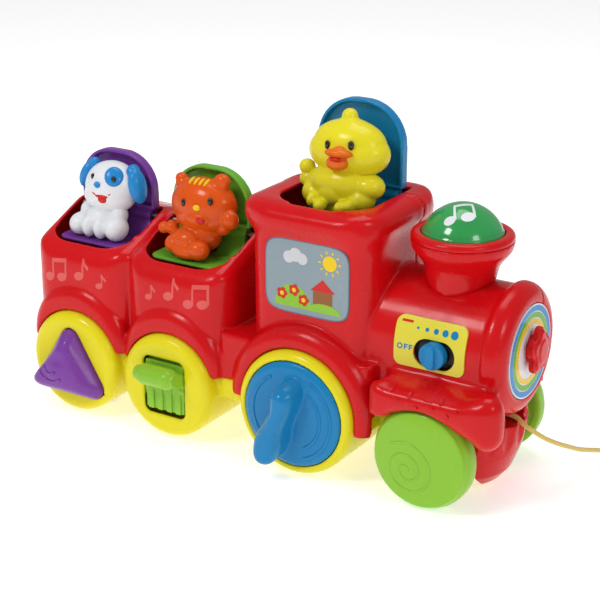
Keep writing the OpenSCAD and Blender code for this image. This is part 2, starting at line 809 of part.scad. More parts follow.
// Twist knob: domed disc, S-shaped grip, shaft and cam
module twist_knob() color("dodgerblue") in_row() {
  translate([0, 0, cab_drum_z]) {
    translate([0, -drum_face, 0]) rotate([90, 0, 0]) rotate_extrude()
      polygon([[0, -1], [knob_r, -1], [knob_r, 0], [knob_r - 3, 1.4], [24, 2.6], [14, 3.5], [0, 4]]);
    rod_y(knob_r, -drum_face, -face_in);
    rod_y(knob_r - 2, -face_in - 1, -face_in + 2.2);
    rod_y(knob_r + 1.6, -face_in + 1.2, -face_in + 3.2);
    rod_y(stem_r, -face_in, -bulk_y + 12);
    along_y(-bulk_y + 3 + gap, -bulk_y + 9) bar2d([0, 0], [0, 12], 8);
    along_y(-knob_crest + 4, -drum_face + 1) grip2d(0);
    along_y(-knob_crest + 1.5, -drum_face + 1) grip2d(2);
    along_y(-knob_crest, -drum_face + 1) grip2d(4);
  }
}

// Chimney: neck in the boiler, flare and stepped bowl
module chimney() color("red") in_row() {
  translate([chimney_x, 0, 0]) difference() {
    union() {
      difference() {
        translate([0, 0, chim_z]) rotate_extrude() polygon([
          [0, -12], [22, -12], [22, 0], [22.6, 4.5], [24, 9.5], [26.5, 13.5], [29.5, 17], [31.2, 19.5],
          [32, 22.5], [32.3, 24], [32.3, bowl_top - chim_z], [0, bowl_top - chim_z]
        ]);
        translate([-chimney_x, 0, boiler_z]) rod_x(boiler_r, 30, 200);
      }
      translate([0, 0, boiler_z + 22]) cylinder(r = 20, h = 20);
    }
    translate([0, 0, boiler_z]) cylinder(r = 17, h = bowl_floor - 2.4 - boiler_z);
    translate([0, 0, bowl_floor]) cylinder(r = 21, h = 30);
    translate([0, 0, bowl_step]) cylinder(r = flange_r + gap, h = 20);
  }
}

module chimney_rim() color("red") in_row() {
  translate([chimney_x, 0, 0]) rotate_extrude() {
    difference() {
      union() {
        translate([dome_r + gap, bowl_top]) square([3.2, rim_top - bowl_top]);
        translate([dome_r + gap, bowl_top]) square([6.2, 1.4]);
        translate([dome_r + gap + 3.2, rim_top - 3.1]) circle(3.1);
      }
      translate([0, bowl_top - 10]) square([60, 10]);
    }
  }
}

module dome_button() color("limegreen") in_row() {
  translate([chimney_x, 0, 0]) difference() {
    union() {
      translate([0, 0, dome_seat]) cylinder(r = flange_r, h = 3);
      translate([0, 0, bowl_top]) cylinder(r = dome_r, h = 5);
      intersection() {
        translate([0, 0, dome_top - 27]) sphere(27);
        translate([0, 0, bowl_top + 5]) cylinder(r = dome_r, h = 30);
      }
    }
    translate([0, 0, dome_top - 27]) sphere(24.6);
    translate([0, 0, dome_seat - 1]) cylinder(r = 13, h = 12);
  }
}

module dome_spring() color("gray") in_row() {
  translate([chimney_x, 0, bowl_floor]) coil(17, 0.7, dome_seat - bowl_floor, 4);
}

module lamp() color("white") in_row() {
  translate([chimney_x, 0, bowl_floor]) {
    cylinder(r = 5, h = 4);
    cylinder(r = 3, h = 5);
    cylinder(r = 2.5, h = 8);
    translate([0, 0, 8]) sphere(2.5);
  }
}

module window_panel() color("lightblue") in_row() {
  along_y(-cab_half_w + 0.1, -cab_half_w + 1.4) translate([2.5, 130.5]) rrect(55.6, 46.6, 5.8);
}

// Curved plate on the near side of the boiler, slotted for the switch
module label_plate() color("yellow") in_row() {
  intersection() {
    difference() {
      along_x(50, 125) boiler2d(-1.2);
      along_x(40, 130) boiler2d(0);
      switch_slot();
    }
    along_y(-60, -20) translate([label_x, label_z0 + 15.5]) rrect(48, 31, 5);
  }
}

// Oval hole in the label and the boiler wall that the switch slides in
module switch_slot() {
  translate([switch_x, 0, switch_z]) along_y(-60, -boiler_r + 6)
    bar2d([-switch_travel, 0], [switch_travel, 0], 8.5 + 0.6);
}

module volume_switch() color("dodgerblue") in_row() {
  translate([switch_x, 0, switch_z]) {
    rod_y(8.5, -boiler_r - 5, -boiler_r + 1.6);
    along_y(-boiler_r - 7.5, -boiler_r - 4) rrect(6, 15, 2.5);
    box(-3, 3, -boiler_r, -boiler_r + 5.5, -2.4, 2.4);
  }
}

// Slide switch behind the volume knob, against the boiler wall
module switch_body() color("black") in_row() {
  intersection() {
    difference() {
      box(switch_x - 18, switch_x + 18, -boiler_r - 10, -boiler_r + 11.5, switch_z - 7, switch_z + 7);
      box(switch_x - switch_travel - 3.4, switch_x + switch_travel + 3.4, -60, -boiler_r + 6.5, switch_z - 2.8, switch_z + 2.8);
    }
    translate([0, 0, boiler_z]) rod_x(boiler_r - wall, 0, 200);
  }
}

module front_cap() color("white") in_row() {
  translate([0, 0, boiler_z]) rod_x(cap_r, cap_x, collar_x1);
}

// Lobed nose on the front disc
module lobes2d(mid, r) {
  circle(mid);
  for (i = [0:4])
    rotate(72 * i) translate([0, 9.5]) circle(r);
}

module nose() color("red") in_row() {
  translate([collar_x1, 0, boiler_z + 2]) {
    rod_x(9, 0, 8);
    along_x(5, 10) lobes2d(11, 6);
    along_x(5, 12) lobes2d(10, 4);
    rod_x(7, 5, 13);
  }
}

// Fluted catcher in front of the belly
module cowcatcher() color("red") in_row() {
  translate([wheel_x - 2, 0, 0]) difference() {
    rotate_extrude() polygon([[0, 4.5], [29, 4.5], [35, 12], [40, 25], [42.6, 35], [43.5, 45], [42, 52], [39, 57], [0, 57]]);
    for (i = [-3:3])
      rotate([0, 0, i * 18]) translate([48.5, 0, 0]) cylinder(r = 7.5, h = 80);
    box(-60, belly_front - wheel_x + 2, -60, 60, 0, 80);
    box(0, 60, -60, -34, 0, 80);
    box(0, 60, 34, 60, 0, 80);
    box(0, 60, -14, 14, belly_top - 3.5, 80);
    translate([-wheel_x + 2, 0, boiler_z]) rod_x(collar_r + gap, 60, 160);
  }
}

module cord_eyelet() color("gold") in_row() {
  translate([cord_x, 0, cord_z]) difference() {
    rod_x(3.5, 0, 6);
    rod_x(cord_r, -1, 7);
  }
}

module pull_cord() color("khaki") in_row() {
  translate([cord_x, 0, cord_z]) tube(cord_points, cord_r, 8, [0, 0, 1]);
}

module cord_bead() color("gold") in_row() {
  n = len(cord_points);
  e = cord_points[n - 1];
  d = e - cord_points[n - 2];
  a = atan2(d[1], d[0]);
  translate([cord_x, 0, cord_z] + e) rotate([0, 90, a]) rotate_extrude() intersection() {
    translate([0, 4]) circle(4.9);
    square(10);
  }
}

// Front wheel for the near side, its cap domed outwards
module wheel() {
  difference() {
    union() {
      translate([0, -46, 0]) half_drum(wheel_r, 12.6, 6);
      intersection() {
        rod_y(lip_r - 0.8, -64, -50);
        translate([0, -64 + 110, 0]) sphere(110, $fn = 96);
      }
    }
    rod_y(wheel_r - 5, -50, -30);
  }
  difference() {
    rod_y(8, -52, -38);
    rod_y(axle_r, -50, -30);
  }
}

module front_wheel_near() color("limegreen") in_row() {
  translate([wheel_x, 0, wheel_r]) wheel();
}

module front_wheel_far() color("limegreen") in_row() {
  translate([wheel_x, 0, wheel_r]) mirror([0, 1, 0]) wheel();
}

module front_axle() color("silver") in_row() {
  translate([wheel_x, 0, wheel_r]) rod_y(axle_r, -50, 50);
}

module rear_rollers() color("dimgray") in_row() {
  for (s = [-1, 1])
    translate([car1_x, s * 30, roller_r]) difference() {
      rod_y(roller_r, -4, 4);
      rod_y(2, -5, 5);
    }
}

module rear_axle() color("silver") in_row() {
  translate([car1_x, 0, roller_r]) rod_y(2, -42, 42);
}

module battery_door() color("gold") in_row() {
  difference() {
    union() {
      box(keel_x0 + 1.5, door_x1, -door_half, door_half, keel_z, keel_z + 1.4);
      box(door_x1 - 7.1, door_x1 - 0.3, 3.6, 12.4, keel_z + 0.5, keel_z + 3.4);
      for (x = [60, 88])
        box(x - 1.5, x + 1.5, -13, 13, keel_z + 1, keel_z + 5);
    }
    for (s = [-1, 1])
      translate([0, s * cell_y, cell_z]) rod_x(7.25, 40, 120);
    translate([door_x1 - 3.5, 8, 0]) cylinder(r = 1.3, h = 40);
    translate([door_x1 - 3.5, 8, keel_z - 1]) cylinder(r = 3.1, h = 2.8);
  }
}

module batteries() color("black") in_row() {
  for (s = [-1, 1])
    translate([keel_x0 + wall + 1, s * cell_y, cell_z]) {
      rod_x(7.25, 0, 49.5);
      rod_x(2.7, 0, 50.5);
    }
}

module screw(r, l) {
  translate([0, 0, -1.6]) difference() {
    cylinder(r = 2.2 * r, h = 1.6);
    for (a = [0, 90])
      rotate([0, 0, a]) translate([-1.3 * r, -0.3, -1]) cube([2.6 * r, 0.6, 1.8]);
  }
  cylinder(r = r, h = l);
}

module door_screw() color("silver") in_row() {
  translate([door_x1 - 3.5, 8, keel_z + 1.8]) screw(1.3, 7);
}

module case_screws() color("silver") in_row() {
  for (s = [-1, 1], p = [[post1_x, post1_y], [post2_x, post2_y]])
    translate([p[0], s * p[1], belly_z]) screw(1.5, belly_top - belly_z - 0.5);
}

module circuit_board() color("green") in_row() {
  box(50, belly_front - 8, -front_half + 1, front_half - 1, front_top, front_top + 1.6);
  box(70, 84, -10, 8, front_top + 1.6, front_top + 3);
  for (y = [-22, 20])
    translate([60, y, front_top + 1.6]) cylinder(r = 4, h = 8);
}

// Speaker behind the slots of the far cab drum
module speaker() color("dimgray") in_row() {
  translate([0, face_in, cab_drum_z]) rotate([90, 0, 0]) rotate_extrude()
    polygon([[0, 12], [0, 3], [6, 5], [16, 1], [18, 0], [20, 0], [20, 2], [12, 6], [12, 12]]);
}

near_shell();
far_shell();
near_base();
far_base();
purple_flap();
green_flap();
blue_flap();
hinge_pins();
flap_springs();
puppy();
kitten();
duckling();
triangle_button();
button_spring();
flip_lever();
lever_pin();
lever_spring();
twist_knob();
chimney();
chimney_rim();
dome_button();
dome_spring();
lamp();
window_panel();
label_plate();
volume_switch();
switch_body();
front_cap();
nose();
cowcatcher();
cord_eyelet();
pull_cord();
cord_bead();
front_wheel_near();
front_wheel_far();
front_axle();
rear_rollers();
rear_axle();
battery_door();
batteries();
door_screw();
case_screws();
circuit_board();
speaker();
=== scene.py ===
# %% [markdown]
# # A pull-along pop-up train
# The train is moulded plastic: a red body in two halves, three yellow drums with controls, and three animals that pop
# up under sprung lids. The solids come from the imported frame. Here they get softened edges, finishes, painted figures
# and a studio.

# %% Load the frame
import json
import math

import bmesh
import bpy
from mathutils import Euler, Matrix, Vector
from mathutils.bvhtree import BVHTree


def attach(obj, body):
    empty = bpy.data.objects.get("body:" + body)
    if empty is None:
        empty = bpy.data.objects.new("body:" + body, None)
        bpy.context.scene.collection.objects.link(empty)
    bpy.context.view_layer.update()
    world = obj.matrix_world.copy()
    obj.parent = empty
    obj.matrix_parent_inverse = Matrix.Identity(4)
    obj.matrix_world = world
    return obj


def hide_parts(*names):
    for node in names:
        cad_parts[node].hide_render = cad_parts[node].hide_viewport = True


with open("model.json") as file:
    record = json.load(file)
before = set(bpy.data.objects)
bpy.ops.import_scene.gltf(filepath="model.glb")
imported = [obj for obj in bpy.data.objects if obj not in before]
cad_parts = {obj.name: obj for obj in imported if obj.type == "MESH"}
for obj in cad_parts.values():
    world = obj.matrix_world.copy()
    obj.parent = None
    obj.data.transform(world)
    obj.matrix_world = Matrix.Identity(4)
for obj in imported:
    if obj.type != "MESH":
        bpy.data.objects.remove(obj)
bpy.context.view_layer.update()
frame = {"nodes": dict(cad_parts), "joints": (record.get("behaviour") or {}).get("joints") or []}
nodes = frame["nodes"]
joint_at = {j["name"]: Vector(j["pos_m"]) for j in frame["joints"] if "pos_m" in j}
MM = 0.001
cab_x = joint_at["blue_lid"].x
mid_y = joint_at["purple_lid"].y


def at(x, y, z):
    """A point in millimetres from the floor under the cab's middle, as a place in the row frame."""
    return Vector((cab_x + x * MM, mid_y + y * MM, z * MM))


# %% [markdown]
# ## Camera
# The camera stands a metre away, to the right of the controls and a little above, as the photographer did. A long lens
# keeps the drums nearly round. It could be placed by eye, but its place was solved from the drums and the cab, so that
# edges fall where they should.

# %% Camera
target = at(-32.9, 0, 95.05)
back = Vector((0.5007, -0.7911, 0.3516)).normalized()
camera_distance = 1.0215
lens = bpy.data.cameras.new("studio_lens")
lens.lens = 91.92
lens.sensor_width = 36.0
camera = bpy.data.objects.new("studio_camera", lens)
camera.location = target + back * camera_distance
camera.rotation_euler = (-back).to_track_quat("-Z", "Y").to_euler()
bpy.context.scene.collection.objects.link(camera)
bpy.context.scene.camera = camera
print("camera at", [round(c, 4) for c in camera.location])

# %% [markdown]
# ## Shared finish
# Moulded plastic is never one flat colour: it is slightly uneven in tone and gloss, and its skin has a faint ripple
# left by the mould. Each plastic could carry its own copy of the nodes for that. One node group is easier to keep in
# step: it makes the three signals from the piece's own coordinates, and every plastic takes it with its own colour.


# %% Node group for moulded skin
def new_group(name, inputs, outputs):
    """An empty shader group with its sockets, and its two end nodes."""
    group = bpy.data.node_groups.new(name, "ShaderNodeTree")
    for label, kind, value in inputs:
        socket = group.interface.new_socket(label, in_out="INPUT", socket_type=kind)
        socket.default_value = value
    for label, kind in outputs:
        group.interface.new_socket(label, in_out="OUTPUT", socket_type=kind)
    ends = group.nodes.new("NodeGroupInput"), group.nodes.new("NodeGroupOutput")
    return group, ends[0], ends[1]


def own_place(tree):
    """The coordinates of the piece itself, so that a pattern moves with it."""
    return tree.nodes.new("ShaderNodeTexCoord").outputs["Object"]


def noise(tree, coord, scale, detail):
    """Clouds from 0 to 1."""
    node = tree.nodes.new("ShaderNodeTexNoise")
    node.inputs["Scale"].default_value = scale
    node.inputs["Detail"].default_value = detail
    tree.links.new(coord, node.inputs["Vector"])
    return node.outputs["Fac"]


def ramp(tree, value, low, high, to_low, to_high):
    """Stretches a value from one range to another."""
    node = tree.nodes.new("ShaderNodeMapRange")
    node.inputs["From Min"].default_value = low
    node.inputs["From Max"].default_value = high
    node.inputs["To Min"].default_value = to_low
    node.inputs["To Max"].default_value = to_high
    tree.links.new(value, node.inputs["Value"])
    return node.outputs["Result"]


def blend_colour(tree, factor, first, second):
    """Goes from the first colour to the second; each is a colour or another node's output."""
    node = tree.nodes.new("ShaderNodeMix")
    node.data_type = "RGBA"
    for socket, value in ((node.inputs[0], factor), (node.inputs[6], first), (node.inputs[7], second)):
        if isinstance(value, bpy.types.NodeSocket):
            tree.links.new(value, socket)
        else:
            socket.default_value = value
    return node.outputs[2]


skin_group, skin_in, skin_out = new_group(
    "moulded_skin",
    [("Colour", "NodeSocketColor", (0.8, 0.8, 0.8, 1)), ("Shade", "NodeSocketColor", (0.5, 0.5, 0.5, 1))],
    [("Colour", "NodeSocketColor"), ("Gloss", "NodeSocketFloat"), ("Ripple", "NodeSocketFloat")],
)
skin_coord = own_place(skin_group)
skin_tone = ramp(skin_group, noise(skin_group, skin_coord, 22, 2), 0.35, 0.7, 0.0, 0.35)
skin_group.links.new(
    blend_colour(skin_group, skin_tone, skin_in.outputs["Colour"], skin_in.outputs["Shade"]), skin_out.inputs["Colour"]
)
skin_gloss = ramp(skin_group, noise(skin_group, skin_coord, 90, 3), 0.3, 0.7, 0.16, 0.30)
skin_group.links.new(skin_gloss, skin_out.inputs["Gloss"])
skin_group.links.new(noise(skin_group, skin_coord, 260, 2), skin_out.inputs["Ripple"])
print("group", skin_group.name, len(skin_group.nodes), "nodes")

# %% [markdown]
# ### Plastics
# Body, base, lids and figures are coloured right through, and faces and pictures are paint or film. They could share
# one material that reads a colour from each piece, but a material to each colour is easier to find and to change.


# %% Plastic materials
def fresh_material(name):
    """A new material, with its node tree and its shader."""
    made = bpy.data.materials.new(name)
    made.use_nodes = True
    return made, made.node_tree, made.node_tree.nodes["Principled BSDF"]


def raise_skin(tree, shader, height, strength, distance):
    """Lets a height tilt the shader's normal."""
    bump = tree.nodes.new("ShaderNodeBump")
    bump.inputs["Strength"].default_value = strength
    bump.inputs["Distance"].default_value = distance
    tree.links.new(height, bump.inputs["Height"])
    tree.links.new(bump.outputs["Normal"], shader.inputs["Normal"])


def plastic(name, colour, coat=0.06):
    """A moulded plastic of one colour."""
    made, tree, shader = fresh_material(name)
    shader.inputs["IOR"].default_value = 1.49
    shader.inputs["Specular IOR Level"].default_value = 0.22
    shader.inputs["Coat Weight"].default_value = coat
    shader.inputs["Coat Roughness"].default_value = 0.06
    skin = tree.nodes.new("ShaderNodeGroup")
    skin.node_tree = skin_group
    skin.inputs["Colour"].default_value = (*colour, 1)
    skin.inputs["Shade"].default_value = (*[c * 0.82 for c in colour], 1)
    tree.links.new(skin.outputs["Colour"], shader.inputs["Base Color"])
    tree.links.new(skin.outputs["Gloss"], shader.inputs["Roughness"])
    raise_skin(tree, shader, skin.outputs["Ripple"], 0.006, 0.001)
    return made


red = plastic("red_body", (0.64, 0.004, 0.007))
yellow = plastic("yellow_base", (0.82, 0.72, 0.012))
purple = plastic("purple_lid", (0.20, 0.050, 0.34))
green = plastic("green_lid", (0.15, 0.45, 0.035))
leaf_green = plastic("green_wheel", (0.27, 0.56, 0.035), coat=0.1)
blue = plastic("blue_lid", (0.008, 0.22, 0.50))
white = plastic("white_figure", (0.80, 0.82, 0.85))
cloud_grey = plastic("cloud_print", (0.62, 0.64, 0.66))
orange = plastic("orange_figure", (0.76, 0.095, 0.006))
chick_yellow = plastic("yellow_figure", (0.82, 0.72, 0.02))
black = plastic("black_paint", (0.006, 0.006, 0.007), coat=0.8)
sky_blue = plastic("blue_paint", (0.02, 0.25, 0.62))
lip_red = plastic("red_paint", (0.62, 0.02, 0.015))
beak_orange = plastic("beak_paint", (0.80, 0.16, 0.01))
sun_yellow = plastic("yellow_paint", (0.88, 0.60, 0.01))
pale_red = plastic("pale_red_print", (0.74, 0.11, 0.10))
pale_sky = plastic("sky_print", (0.27, 0.34, 0.38))
slate = plastic("frame_print", (0.10, 0.16, 0.21))
barn_brown = plastic("brown_print", (0.30, 0.11, 0.03))
dark = plastic("dark_moulding", (0.02, 0.02, 0.022), coat=0.0)
board_green = plastic("board_green", (0.02, 0.13, 0.04), coat=0.0)
label_yellow = plastic("label_film", (0.76, 0.68, 0.06))
print("plastics made:", len(bpy.data.materials))

# %% [markdown]
# ### Other finishes
# Pins and springs are drawn steel wire, the dome is tinted see-through plastic, and the cord is braided. The group of
# the mouldings could be stretched to cover them, but none shares that skin, so each gets a short material of its own.


# %% Metal, cord and tinted dome
def drawn_steel():
    """Grey wire with a fine grain."""
    made, tree, shader = fresh_material("drawn_steel")
    shader.inputs["Metallic"].default_value = 1.0
    grain = noise(tree, own_place(tree), 400, 3)
    tree.links.new(ramp(tree, grain, 0.3, 0.7, 0.22, 0.42), shader.inputs["Roughness"])
    tone = blend_colour(tree, grain, (0.55, 0.55, 0.56, 1), (0.40, 0.40, 0.41, 1))
    tree.links.new(tone, shader.inputs["Base Color"])
    return made


def tinted_dome():
    """Green plastic that lets some light through, a little cloudy."""
    made, tree, shader = fresh_material("tinted_dome")
    shader.inputs["Transmission Weight"].default_value = 0.35
    shader.inputs["IOR"].default_value = 1.45
    shader.inputs["Coat Weight"].default_value = 0.5
    cloud = noise(tree, own_place(tree), 40, 3)
    tone = blend_colour(tree, cloud, (0.02, 0.42, 0.08, 1), (0.06, 0.58, 0.16, 1))
    tree.links.new(tone, shader.inputs["Base Color"])
    tree.links.new(ramp(tree, cloud, 0.3, 0.7, 0.12, 0.24), shader.inputs["Roughness"])
    return made


def braided_cord():
    """Yellow yarn with slanting strands."""
    made, tree, shader = fresh_material("braided_cord")
    shader.inputs["Sheen Weight"].default_value = 0.4
    wave = tree.nodes.new("ShaderNodeTexWave")
    wave.inputs["Scale"].default_value = 420
    wave.inputs["Distortion"].default_value = 1.5
    wave.bands_direction = "DIAGONAL"
    tree.links.new(own_place(tree), wave.inputs["Vector"])
    strand = wave.outputs["Fac"]
    tone = blend_colour(tree, strand, (0.66, 0.45, 0.07, 1), (0.92, 0.72, 0.20, 1))
    tree.links.new(tone, shader.inputs["Base Color"])
    tree.links.new(ramp(tree, strand, 0, 1, 0.85, 0.65), shader.inputs["Roughness"])
    raise_skin(tree, shader, strand, 0.5, 0.0004)
    return made


steel = drawn_steel()
dome_green = tinted_dome()
cord_weave = braided_cord()
print("special finishes:", steel.name, dome_green.name, cord_weave.name)

# %% [markdown]
# ## Pull cord
# The cord comes straight out of its bush, droops over the catcher to the floor and lies in one small loop with a bead
# on its end. A simulation could lay it, but its solid already lies in place, so one round bar is swept through the same
# points.


# %% Pull cord
def finish_piece(piece, body, slot, material, stands_for=()):
    """Gives a finished piece its material, its body and the solids that it stands for."""
    if not piece.data.materials:
        piece.data.materials.append(material)
    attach(piece, body)
    if stands_for:
        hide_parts(*stands_for)
    return piece


def swept(name, lines, radius, rounds):
    """A round bar along each line of places, as one curve."""
    curve = bpy.data.curves.new(name, "CURVE")
    curve.dimensions = "3D"
    curve.bevel_depth = radius
    curve.bevel_resolution = rounds
    curve.use_fill_caps = True
    for places in lines:
        spline = curve.splines.new("POLY")
        spline.points.add(len(places) - 1)
        for point, place in zip(spline.points, places):
            point.co = (*place, 1)
    piece = bpy.data.objects.new(name, curve)
    bpy.context.scene.collection.objects.link(piece)
    return piece


bush_x, bush_z = 112, 50
route = [
    (0, 0, 0), (6, 0, 0), (12, -0.5, -0.2), (16, -1, -0.6), (22, -3.4, -3), (27, -2.4, -6), (33, 3.2, -12),
    (38, 12, -18), (42, 23, -24), (45.5, 35, -30), (49.5, 51, -36), (51.5, 66, -42), (54.5, 77, -46),
    (59, 86, -48.4), (66, 95, -48.4), (77, 101, -48.4), (90, 100, -48.4), (100, 92, -48.4), (103, 80, -48.4),
    (98, 69, -48.4), (88, 63, -47), (78, 62, -45), (72, 63, -45),
]


def flow(points, count):
    """A smooth curve through the points, with count steps to each span."""
    p = [Vector(q) for q in points]
    made = []
    for i in range(len(p) - 1):
        a, b, c, d = p[max(i - 1, 0)], p[i], p[i + 1], p[min(i + 2, len(p) - 1)]
        for k in range(count):
            t = k / count
            made.append(
                0.5 * (2 * b + (c - a) * t + (2 * a - 5 * b + 4 * c - d) * t**2 + (3 * b - a - 3 * c + d) * t**3)
            )
    return made + [p[-1]]


cord_path = [at(bush_x + q.x, q.y, bush_z + q.z) for q in flow(route, 3)]
cord = swept("pull_cord_braid", [cord_path], 0.0015, 4)
finish_piece(cord, "train", "cord_yellow", cord_weave, ["pull_cord"])

# %% [markdown]
# ## Softened mouldings
# A real moulding has no knife edges: every rim and corner is rolled over. A bevel could roll them, but it fails where
# many cuts meet. So a copy of each solid is merged, laid on an even voxel grid and smoothed a few times. The grid size
# and the number of passes set how wide the rolled edge is.


# %% Softening helper
def evaluated(piece):
    """Freezes a piece's modifiers into its mesh."""
    graph = bpy.context.evaluated_depsgraph_get()
    mesh = bpy.data.meshes.new_from_object(piece.evaluated_get(graph))
    old = piece.data
    piece.modifiers.clear()
    piece.data = mesh
    bpy.data.meshes.remove(old)
    for face in piece.data.polygons:
        face.use_smooth = True
    return piece


def piece_from(bm, name):
    """Turns a finished bmesh into a piece."""
    mesh = bpy.data.meshes.new(name)
    bm.to_mesh(mesh)
    bm.free()
    piece = bpy.data.objects.new(name, mesh)
    bpy.context.scene.collection.objects.link(piece)
    return piece


def even_skin(piece, voxel, passes):
    """Lays a piece on a voxel grid and smooths it."""
    grid = piece.modifiers.new("grid", "REMESH")
    grid.mode = "VOXEL"
    grid.voxel_size = voxel * MM
    soft = piece.modifiers.new("soft", "SMOOTH")
    soft.factor = 0.5
    soft.iterations = passes
    return evaluated(piece)


def reshape(piece, move, chosen, passes):
    """Moves each point by its place in millimetres, then smooths the points that are chosen."""
    zero = at(0, 0, 0)
    bm = bmesh.new()
    bm.from_mesh(piece.data)
    for v in bm.verts:
        v.co = at(*move(*((v.co - zero) / MM)))
    picked = [v for v in bm.verts if chosen(*((v.co - zero) / MM))]
    for _ in range(passes):
        bmesh.ops.smooth_vert(bm, verts=picked, factor=0.5, use_axis_x=True, use_axis_y=True, use_axis_z=True)
    bm.to_mesh(piece.data)
    bm.free()
    print(piece.name, "reshaped,", len(picked), "points smoothed further")


def soften(node, voxel, passes, body, slot, material, share=1.0, shaping=None):
    """Makes the soft skin that stands for a solid, thinned to a share of its faces; shaping is what reshape takes."""
    bm = bmesh.new()
    bm.from_mesh(nodes[node].data)
    bmesh.ops.remove_doubles(bm, verts=bm.verts, dist=1e-6)
    piece = even_skin(piece_from(bm, node + "_skin"), voxel, passes)
    if shaping:
        reshape(piece, *shaping)
    if share < 1.0:
        thin = piece.modifiers.new("thin", "DECIMATE")
        thin.ratio = share
        evaluated(piece)
    finish_piece(piece, body, slot, material, [node])
    print(piece.name, len(piece.data.polygons), "faces")
    return piece


# %% [markdown]
# ### Form of the red body
# The cab roof swells out over its walls like a pillow, and the upper edges of the carriages and the rails over the
# wheels are rolled much wider than the other edges. A second solid could be added for each, but moving the points of
# the one skin keeps it in one piece.


# %% Form of the red body
def ease(value, low, high):
    """Rises smoothly from 0 at low to 1 at high."""
    t = min(max((value - low) / (high - low), 0.0), 1.0)
    return t * t * (3 - 2 * t)


eaves, roof_top, cab_wall = (153, 163), (170, 179), (34, 44)
cab_reach = 62
rail_end = 112
seam_y = 16
carriage_middles = (-182, -102)


def pillow(x, y, z):
    """Swells the roof, and draws the far front corner in behind the collar."""
    swell = ease(z, *eaves) * (1 - ease(z, *roof_top)) if abs(x) < cab_reach else 0.0
    x += swell * (3.0 * ease(x, *cab_wall) - 5.5 * ease(-x, *cab_wall))
    y += swell * 3.2 * (ease(y, *cab_wall) - ease(-y, *cab_wall))
    if y > 34 and z < 92:
        x = min(x, rail_end) + 0.25 * max(x - rail_end, 0)
    return x, y, z


def tube(x, y, z):
    """The pillow, with the near rail's outer edge drawn towards a tube."""
    x, y, z = pillow(x, y, z)
    outer = ease(-y, 38, 56) * ease(x, 58, 66) * (1 - ease(x, 116, 122)) if z < 86 else 0.0
    return x, y + 3.5 * outer * (ease(z, 74, 82) + 1 - ease(z, 58, 66)), z - 2.5 * outer * ease(z, 72, 82)


def wide_edges(x, y, z):
    """The points of the body whose edges are rolled widest."""
    if abs(y - seam_y) < 5:
        return False
    roof = z > 148 and abs(x) < cab_reach and (abs(x) > 37 or abs(y) > 38)
    side = min(abs(x - middle) for middle in carriage_middles)
    carriage = z > 92 and x < -52 and (side > 33.5 or y < -30)
    rail = x > 56 and 40 < z < 90 and abs(y) > 36
    return roof or carriage or rail


print("carriage middles", carriage_middles, "seam", seam_y)

# %% [markdown]
# ### Red body and yellow base
# The shells and bases are the largest mouldings. They could keep every voxel, but half of the faces show the same form,
# so they are thinned. The chimney's foot is rolled further than its mouth, and the nose is drawn in on its disc.


# %% Red body and yellow base
def as_it_is(x, y, z):
    return x, y, z


def below_mouth(x, y, z):
    return z < 141


def drawn_in(x, y, z):
    return 129 + 0.8 * (x - 129), 0.82 * y, z


def nowhere(x, y, z):
    return False


near_skin = soften("near_shell", 1.0, 7, "train", "red", red, 0.45, (tube, wide_edges, 48))
soften("far_shell", 1.0, 7, "train", "red", red, 0.45, (pillow, wide_edges, 48))
soften("near_base", 1.0, 4, "train", "yellow", yellow, 0.5)
soften("far_base", 1.0, 4, "train", "yellow", yellow, 0.5)
soften("chimney", 0.8, 5, "train", "red", red, 0.9, (as_it_is, below_mouth, 24))
soften("chimney_rim", 0.6, 10, "train", "red", red)
soften("cowcatcher", 0.8, 5, "train", "red", red)
soften("nose", 0.6, 10, "train", "red", red, 0.9, (drawn_in, nowhere, 0))

# %% [markdown]
# ### Controls, lids and wheels
# The button, the lever, the knob, the lids and the wheels are mouldings too, each in its own colour. The button's crown
# leans over the drum and the knob's grip reaches out for the hand. Both could be built anew, but a move of the points
# in front of the drum is enough, and what lies inside keeps its place.


# %% Controls, lids and wheels
def leaning(x, y, z):
    """Spreads the button's crown to one side, clear of the drum below it."""
    lift = ease(-y, 67, 72)
    low_left = min(max((-160 - x) / 44, 0), 1) * min(max((66 - z) / 46, 0), 1)
    return x - 8 * lift * low_left + 2.5 * lift * ease(z, 20, 66), y - 2 * lift * low_left, z


def reaching(x, y, z):
    """Draws the knob's grip out and down."""
    out = ease(-y, 66, 76)
    return x - 1.5 * out, y - 4 * out, z - 3.5 * out


def button_crown(x, y, z):
    return y < -65


def knob_grip(x, y, z):
    return y < -66


button_skin = soften("triangle_button", 0.8, 6, "triangle", "purple", purple, 0.9, (leaning, button_crown, 50))
soften("flip_lever", 0.7, 6, "lever", "green", leaf_green)
knob_skin = soften("twist_knob", 0.8, 10, "knob", "blue", blue, 0.9, (reaching, knob_grip, 12))
for shade, material in (("purple", purple), ("green", green), ("blue", blue)):
    soften(shade + "_flap", 0.7, 5, shade + "_popup", shade, material)
near_wheel_skin = soften("front_wheel_near", 0.9, 8, "front_wheels", "green", leaf_green)
far_wheel_skin = soften("front_wheel_far", 0.9, 8, "front_wheels", "green", leaf_green)
soften("dome_button", 0.6, 2, "dome", "clear_green", dome_green)
soften("volume_switch", 0.5, 5, "switch", "blue", blue)

# %% [markdown]
# ## Figures
# The animals are soft rounded toys, moulded in one colour with painted faces. They could be sculpted by hand or carved
# from a box by subdivision. Here each one is pressed together from balls, as from clay: the balls are placed about the
# hinge of its lid, joined on a fine grid and smoothed until the joins are soft creases, so each lump is easy to move.


